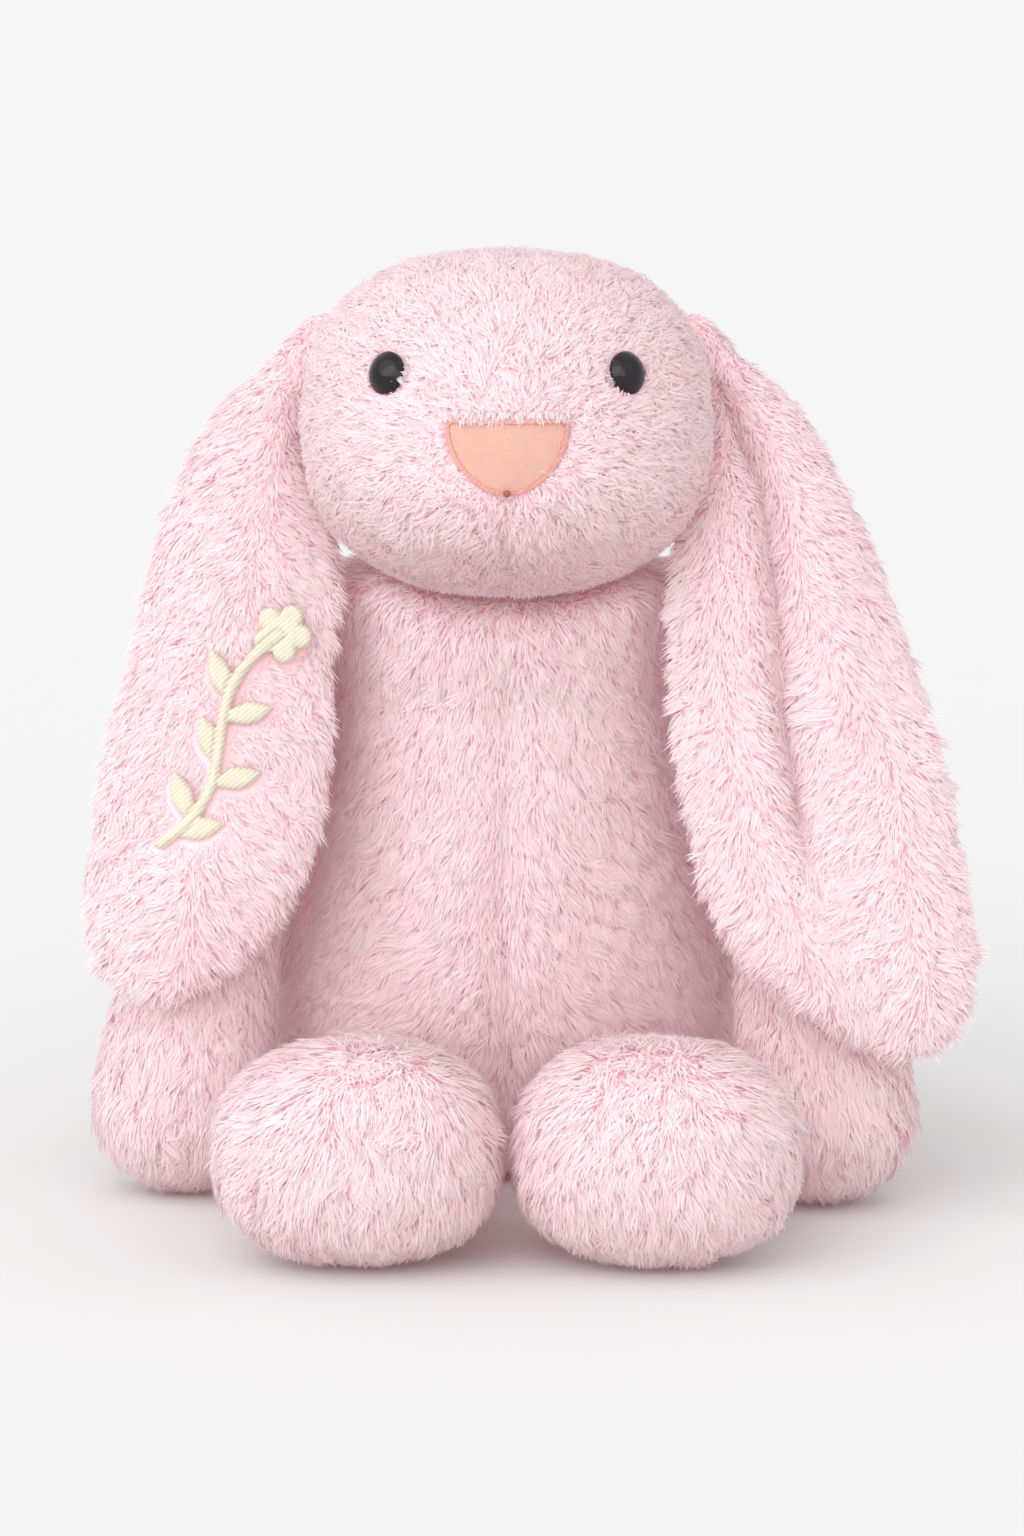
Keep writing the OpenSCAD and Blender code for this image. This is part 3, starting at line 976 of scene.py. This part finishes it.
@dataclass
class Head:
    """The broad rounded head with its muzzle seam, its nose and its eyes."""

    shop: Workshop
    bare: float = 0.4 * MM

    def flow(self, at: Array, out: Array) -> Array:
        """Fur runs outward from the nose, back over the crown and down the cheeks."""
        nose = self.shop.middle("nose_patch")
        away = unit(at - nose - np.array([0, 6 * MM, 0]))
        return away + np.array([0, 0.1, -0.3])

    def sewn(self, at: Array, out: Array) -> Array:
        """Draws the skin in along the muzzle seam below the nose."""
        nose = self.shop.middle("nose_patch")
        below = smooth_step(nose[2] - 2 * MM, nose[2] - 9 * MM, at[:, 2])
        front = smooth_step(0.2, 0.6, -out[:, 1]) * below
        pull = np.exp(-((at[:, 0] / (3.5 * MM)) ** 2)) * front * 2.2 * MM
        return -out * pull[:, None]

    def brow(self, skin: bpy.types.Object) -> bpy.types.Object:
        """Ragged fur that hangs over the upper edge of the nose."""
        low, high = (np.array(corner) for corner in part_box("nose_patch"))

        def above(at: Array, out: Array) -> Array:
            """Keeps a narrow band above the nose."""
            over = (at[:, 2] > high[2] - 0.3 * MM) & (at[:, 2] < high[2] + 2.2 * MM)
            return over & (at[:, 0] > low[0]) & (at[:, 0] < high[0]) & (out[:, 1] < -0.3)

        def down(at: Array, out: Array) -> Array:
            """Points down over the nose."""
            return one_way(at, 0.0, -0.3, -1.0)

        return Pile(
            "brow_pile", down, per_mm2=9.0, length=3.8 * MM, rise=4.0 * MM, lock=1.8 * MM,
            gather=0.2, seed=22, kept=above,
        ).grow(skin, self.shop.finishes.pile)

    def lids(self, skin: bpy.types.Object) -> bpy.types.Object:
        """Short fur that leans over the two sides of each eye."""
        middles = [self.shop.middle(f"eye_{side.word}") for side in Side]
        reach = self.shop.near(["eye_left", "eye_right"])

        def towards(at: Array, out: Array) -> Array:
            """Points across the face at the nearer eye."""
            nearer = np.where(at[:, :1] < 0, middles[0][0], middles[1][0])
            return np.sign(nearer - at[:, :1]) * np.array([1.0, 0.0, 0.0])

        def beside(at: Array, out: Array) -> Array:
            """Keeps a narrow band at the sides of each eye."""
            level = np.abs(at[:, 2] - middles[0][2]) < 3.6 * MM
            gap = reach(at + out * PROBE, 3 * MM)
            return level & (gap < 1.0 * MM) & (gap > 0.1 * MM)

        return Pile(
            "lid_pile", towards, per_mm2=14.0, length=1.5 * MM, rise=3.4 * MM, lock=1.8 * MM,
            gather=0.2, seed=23, kept=beside,
        ).grow(skin, self.shop.finishes.pile)

    def build(self) -> None:
        """Makes the cover and dresses the face."""
        skin = Skin(
            "head_cloth", ["head_cover", "head_filling"], stuffing=Stuffing(), shape=self.sewn
        ).build(self.shop.nodes)
        distance = self.shop.near(["nose_patch", "eye_left", "eye_right"])

        def open_face(at: Array, out: Array) -> Array:
            """Leaves the nose and the eyes bare."""
            return distance(at + out * PROBE, 4 * MM) > self.bare

        def trimmed(at: Array) -> Array:
            """Shortens the fur around the nose and the eyes."""
            return 0.6 + 0.4 * np.clip(distance(at, 8 * MM) / (8 * MM), 0, 1)

        def free(tip: Array) -> Array:
            """Leaves out strands whose tips lie on the nose or the eyes."""
            return distance(tip, 2 * MM) > 0.9 * MM

        pile = Pile(
            "head_pile", self.flow, length=7.0 * MM, rise=2.9 * MM, stray=0.6,
            lock=3.0 * MM, seed=21, kept=open_face, shorter=trimmed,
            clear=free,
        ).grow(skin, self.shop.finishes.pile)
        edges = [self.brow(skin), self.lids(skin)]
        self.shop.hand_over(skin, [pile, *edges], "head", ["head_cover"], 0.9)
        finishes = self.shop.finishes
        self.shop.dress("head_filling", finishes.filling)
        self.shop.dress("nose_patch", finishes.nose)
        self.shop.dress("nose_edging", finishes.nose_thread)
        self.shop.dress("nose_knot", finishes.knot)
        for side in Side:
            self.shop.dress(f"eye_{side.word}", finishes.bead)
            self.shop.dress(f"eye_{side.word}_washer", finishes.washer)


@dataclass
class Embroidery:
    """A sprig in raised satin stitch on the left ear."""

    shop: Workshop
    node: str = "ear_left_embroidery"
    fine: float = 0.38 * MM
    round_over: float = 1.7 * MM
    height: float = 1.5 * MM
    stitch: float = 1.15 * MM
    ridge: float = 0.22 * MM

    def facing(self, mesh: bpy.types.Mesh) -> Array:
        """The way that the motif faces: the normal that most of its area shares."""
        normals = np.array([p.normal for p in mesh.polygons])
        area = np.array([p.area for p in mesh.polygons])
        front = normals[:, 1] < 0
        keys = np.round(normals[front], 2)
        shared, group = np.unique(keys, axis=0, return_inverse=True)
        return unit(shared[np.argmax(np.bincount(group.ravel(), area[front]))])

    def build(self) -> None:
        """Makes the stitched motif in place of the frame's flat one."""
        obj = copy_of_nodes("ear_left_stitches", self.shop.nodes, [self.node])
        face = self.facing(obj.data)
        walls = [
            tuple(p.vertices) for p in obj.data.polygons if abs(float(np.dot(p.normal, face))) < 0.5
        ]
        tree = BVHTree.FromPolygons([tuple(p) for p in points_of(obj.data)], walls)
        apply_modifier(obj, "REMESH", mode="VOXEL", voxel_size=self.fine)
        points = points_of(obj.data)
        normals = normals_of(obj.data)
        apart = np.array([tree.find_nearest(p, 1.0)[3] for p in points])
        rise = np.sqrt(1 - (1 - np.minimum(apart / self.round_over, 1)) ** 2) * self.height
        twist = np.sin((points @ np.array(STITCH_SLANT)) * 2 * math.pi / self.stitch)
        top = smooth_step(0.2, 0.8, normals @ face)
        up = (rise + twist * self.ridge - self.round_over * 0.4) * top
        set_points(obj.data, points + face * up[:, None])
        apply_modifier(obj, "SMOOTH", factor=0.5, iterations=1)
        alone(obj)
        bpy.ops.object.shade_smooth()
        obj.data.materials.append(self.shop.finishes.cream)
        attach(obj, "ear_left")
        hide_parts(self.node)
        log.info("stitches: %d faces", len(obj.data.polygons))


EAR_LEFT_RIDGE = Ridge(((-0.062, 0.240), (-0.070, 0.200), (-0.082, 0.150), (-0.092, 0.080)))
EAR_OUTER_RIDGE = Ridge(
    ((0.0624, 0.240), (0.079, 0.201), (0.088, 0.171), (0.103, 0.141), (0.112, 0.123), (0.118, 0.070))
)
EAR_PLEAT = Ridge(
    ((0.062, 0.231), (0.0744, 0.207), (0.079, 0.171), (0.0804, 0.141), (0.085, 0.111), (0.097, 0.081))
)
EAR_LOBE_RIDGE = Ridge(((0.058, 0.200), (0.059, 0.183), (0.061, 0.141), (0.072, 0.096), (0.094, 0.062)))


@dataclass
class Ear:
    """A long limp ear of two fur panels sewn together around the edge."""

    shop: Workshop
    side: Side
    root_bend: float = 26.0 * MM
    root_in: float = 5.0 * MM
    edge_in: float = 5.0 * MM
    pleat_depth: float = 7.0 * MM
    lobe_roll: float = 3.5 * MM
    bank_rise: float = 1.5 * MM

    def flow(self, at: Array, out: Array) -> Array:
        """Fur runs down the ear and away from the ridges where it parts."""
        side = np.zeros(len(at))
        for ridge, spread in self.ridges():
            beside = ridge.beside(at)
            side += np.tanh(beside / (5 * MM)) * np.exp(-((beside / spread) ** 2)) * 1.1
        side *= smooth_step(0.25, 0.8, np.abs(out[:, 1])) * smooth_step(0.255, 0.225, at[:, 2])
        return np.stack([side, np.full(len(at), 0.1), np.full(len(at), -1.0)], axis=1)

    def ridges(self) -> list[tuple[Ridge, float]]:
        """The ear's partings, each with how far it turns the fur beside it."""
        if self.side is Side.LEFT:
            return [(EAR_LEFT_RIDGE, 26 * MM)]
        return [(EAR_OUTER_RIDGE, 22 * MM), (EAR_LOBE_RIDGE, 13 * MM)]

    def hung(self, at: Array, out: Array) -> Array:
        """Lays the root against the head, and the inner edge in behind the cheek."""
        root = smooth_step(0.225, 0.245, at[:, 2]) * self.root_in
        inner = smooth_step(0.1, 0.7, -out[:, 0] * self.side.value)
        cheek = smooth_step(0.155, 0.178, at[:, 2]) * smooth_step(0.218, 0.198, at[:, 2])
        inward = -self.side.value * (root + inner * cheek * self.edge_in)
        moved = inward[:, None] * np.array([1.0, 0.0, 0.0])
        return moved + self.folded(at, out) if self.side is Side.RIGHT else moved

    def folded(self, at: Array, out: Array) -> Array:
        """Draws the long pleat into the right ear, and rolls the lobe beside it."""
        front = smooth_step(-0.1, 0.4, -out[:, 1]) * smooth_step(0.088, 0.125, at[:, 2])
        front *= smooth_step(0.252, 0.235, at[:, 2])
        beside = EAR_PLEAT.beside(at)
        pull = np.exp(-((beside / (4.5 * MM)) ** 2)) * self.pleat_depth
        roll = np.exp(-(((beside + 12 * MM) / (8 * MM)) ** 2)) * self.lobe_roll
        bank = np.exp(-(((beside - 14 * MM) / (9 * MM)) ** 2)) * self.bank_rise
        return out * ((roll + bank - pull) * front)[:, None]

    def build(self) -> None:
        """Makes the ear's cover."""
        word = self.side.word
        nodes = [f"ear_{word}_front", f"ear_{word}_back"]
        skin = Skin(
            f"ear_{word}_cloth", nodes, depth=2.2 * MM, voxel=3.2 * MM, smooth=4, shape=self.hung
        ).build(self.shop.nodes)
        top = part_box(nodes[0])[1][2]
        motif = self.shop.near(["ear_left_embroidery"] if self.side is Side.LEFT else [])

        def kept(at: Array, out: Array) -> Array:
            """Leaves the motif bare, on the ear that has one."""
            return motif(at + out * 3 * MM, 3 * MM) > 1.0 * MM

        def shorter(at: Array) -> Array:
            """Shortens the fur at the seam to the head, and around the motif."""
            share = 0.5 + 0.5 * smooth_step(top, top - 16 * MM, at[:, 2])
            return share * (0.4 + 0.6 * np.clip(motif(at, 7 * MM) / (7 * MM), 0, 1))

        pile = Pile(
            f"ear_{word}_pile", self.flow, length=7.6 * MM, rise=2.5 * MM, gather=0.26,
            seed=31 + self.side.value, kept=kept, shorter=shorter,
        ).grow(skin, self.shop.finishes.pile)
        root = Seam("head", f"ear_{word}", top, top - self.root_bend)
        self.shop.hand_over(skin, [pile], f"ear_{word}", nodes, 0.3, root)
        if self.side is Side.LEFT:
            Embroidery(self.shop).build()


@dataclass
class Arm:
    """An arm that hangs at the side and ends in a round paw."""

    shop: Workshop
    side: Side

    def flow(self, at: Array, out: Array) -> Array:
        """Fur runs down the arm, a little outward and forward."""
        return one_way(at, 0.15 * self.side.value, -0.2, -1.0)

    def build(self) -> None:
        """Makes the arm's cover and dresses its filling."""
        word = self.side.word
        nodes = [f"arm_{word}_cover", f"arm_{word}_filling"]
        skin = Skin(f"arm_{word}_cloth", nodes, stuffing=Stuffing()).build(self.shop.nodes)
        pile = Pile(f"arm_{word}_pile", self.flow, seed=41 + self.side.value).grow(
            skin, self.shop.finishes.pile
        )
        self.shop.hand_over(skin, [pile], f"arm_{word}", nodes[:1], 0.7)
        self.shop.dress(nodes[1], self.shop.finishes.filling)


@dataclass
class Leg:
    """A leg that lies forward and ends in a big round foot with a sewn-in sole."""

    shop: Workshop
    side: Side
    turn: float = -98 * MM
    parting: float = 12 * MM

    def crown(self) -> Array:
        """Where the fur of the sole parts: high on it, and nearer the other foot."""
        low, high = (np.array(corner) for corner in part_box(f"leg_{self.side.word}_sole"))
        share = np.array([0.60 if self.side is Side.LEFT else 0.45, 0.0, 0.90])
        return low + (high - low) * share

    def flow(self, at: Array, out: Array) -> Array:
        """Fur runs forward along the leg, and outward from the crown of the sole."""
        from_crown = (at - self.crown()) * np.array([1.0, 0.0, 1.0])
        from_crown[:, 0] -= np.clip(from_crown[:, 0], -self.parting, self.parting)
        away = unit(from_crown + np.array([0, 0, -5 * MM]))
        front = smooth_step(self.turn + 8 * MM, self.turn - 8 * MM, at[:, 1:2])
        along = one_way(at, 0.25 * self.side.value, -1.0, -0.3)
        return away * front + along * (1 - front)

    def build(self) -> None:
        """Makes the leg's cover and dresses its filling."""
        word = self.side.word
        nodes = [f"leg_{word}_cover", f"leg_{word}_sole"]
        filling = f"leg_{word}_filling"
        skin = Skin(f"leg_{word}_cloth", [*nodes, filling], stuffing=Stuffing()).build(self.shop.nodes)
        pile = Pile(f"leg_{word}_pile", self.flow, seed=51 + self.side.value).grow(
            skin, self.shop.finishes.pile
        )
        self.shop.hand_over(skin, [pile], f"leg_{word}", nodes, 0.85)
        self.shop.dress(filling, self.shop.finishes.filling)


# ---- Studio ----------------------------------------------------------------------------


@dataclass
class Studio:
    """A pale floor, broad soft light from the front and upper left, and the camera in front."""

    distance: float = 1.5
    elevation: float = 9.0
    aim: tuple[float, float, float] = (0.0, 0.0, 0.1207)
    view_height: float = 0.4608
    floor_colour: Colour = (0.74, 0.74, 0.74)
    floor_size: float = 300.0
    sky_light: float = 0.85
    shift: float = 0.0033

    def build(self) -> None:
        """Makes the floor, the lights and the camera."""
        self.floor()
        self.sun("key", (-0.70, -0.80, 0.75), 75.0, 1.15)
        self.sun("front", (-0.30, -1.00, 0.10), 80.0, 2.0)
        self.sun("fill", (0.60, -1.00, 0.40), 90.0, 0.4)
        self.sky()
        self.camera()
        settings = bpy.context.scene.view_settings
        settings.view_transform = "Standard"
        settings.look = "None"

    def floor(self) -> None:
        """One plain pale floor that reaches past the picture."""
        bpy.ops.object.select_all(action="DESELECT")
        bpy.ops.mesh.primitive_plane_add(size=self.floor_size, location=(0, 0, 0))
        sheet = bpy.context.active_object
        sheet.name = "floor"
        r = Recipe("floor_paper")
        r.set(Base_Color=self.floor_colour, Roughness=0.9, Specular_IOR_Level=0.0)
        sheet.data.materials.append(r.material)

    def sun(self, name: str, place: tuple[float, float, float], spread: float, power: float) -> None:
        """Adds one broad soft light that shines from a place towards the rabbit.

        Args:
            name: The light's name.
            place: Which way it comes from.
            spread: How wide it looks from the rabbit, in degrees.
            power: Its strength.
        """
        data = bpy.data.lights.new(name, "SUN")
        data.angle = math.radians(spread)
        data.energy = power
        lamp = bpy.data.objects.new(name, data)
        lamp.location = place
        lamp.rotation_euler = (-Vector(place)).to_track_quat("-Z", "Y").to_euler()
        bpy.context.scene.collection.objects.link(lamp)

    def sky(self) -> None:
        """Even pale light from all around."""
        world = bpy.data.worlds.new("studio")
        world.use_nodes = True
        back = world.node_tree.nodes["Background"]
        back.inputs["Color"].default_value = (1, 1, 1, 1)
        back.inputs["Strength"].default_value = self.sky_light
        bpy.context.scene.world = world

    def camera(self) -> None:
        """Sets the camera in front, a little above."""
        data = bpy.data.cameras.new("camera")
        data.sensor_fit = "VERTICAL"
        data.sensor_height = 24.0
        data.lens = data.sensor_height * self.distance / self.view_height
        data.clip_start = 0.05
        data.clip_end = 400.0
        camera = bpy.data.objects.new("camera", data)
        lift = math.radians(self.elevation)
        aim = Vector(self.aim)
        camera.location = aim + Vector((0, -math.cos(lift), math.sin(lift))) * self.distance
        camera.rotation_euler = (aim - camera.location).to_track_quat("-Z", "Y").to_euler()
        data.shift_x = self.shift
        bpy.context.scene.collection.objects.link(camera)
        bpy.context.scene.camera = camera


def main() -> None:
    """Builds every sub-assembly around the frame and reports each one."""
    logging.basicConfig(level=logging.INFO, format="%(message)s")
    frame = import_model()
    shop = Workshop(frame, Finishes())
    Studio().build()
    Torso(shop).build()
    Head(shop).build()
    for side in Side:
        Ear(shop, side).build()
        Arm(shop, side).build()
        Leg(shop, side).build()


if __name__ == "__main__":
    main()
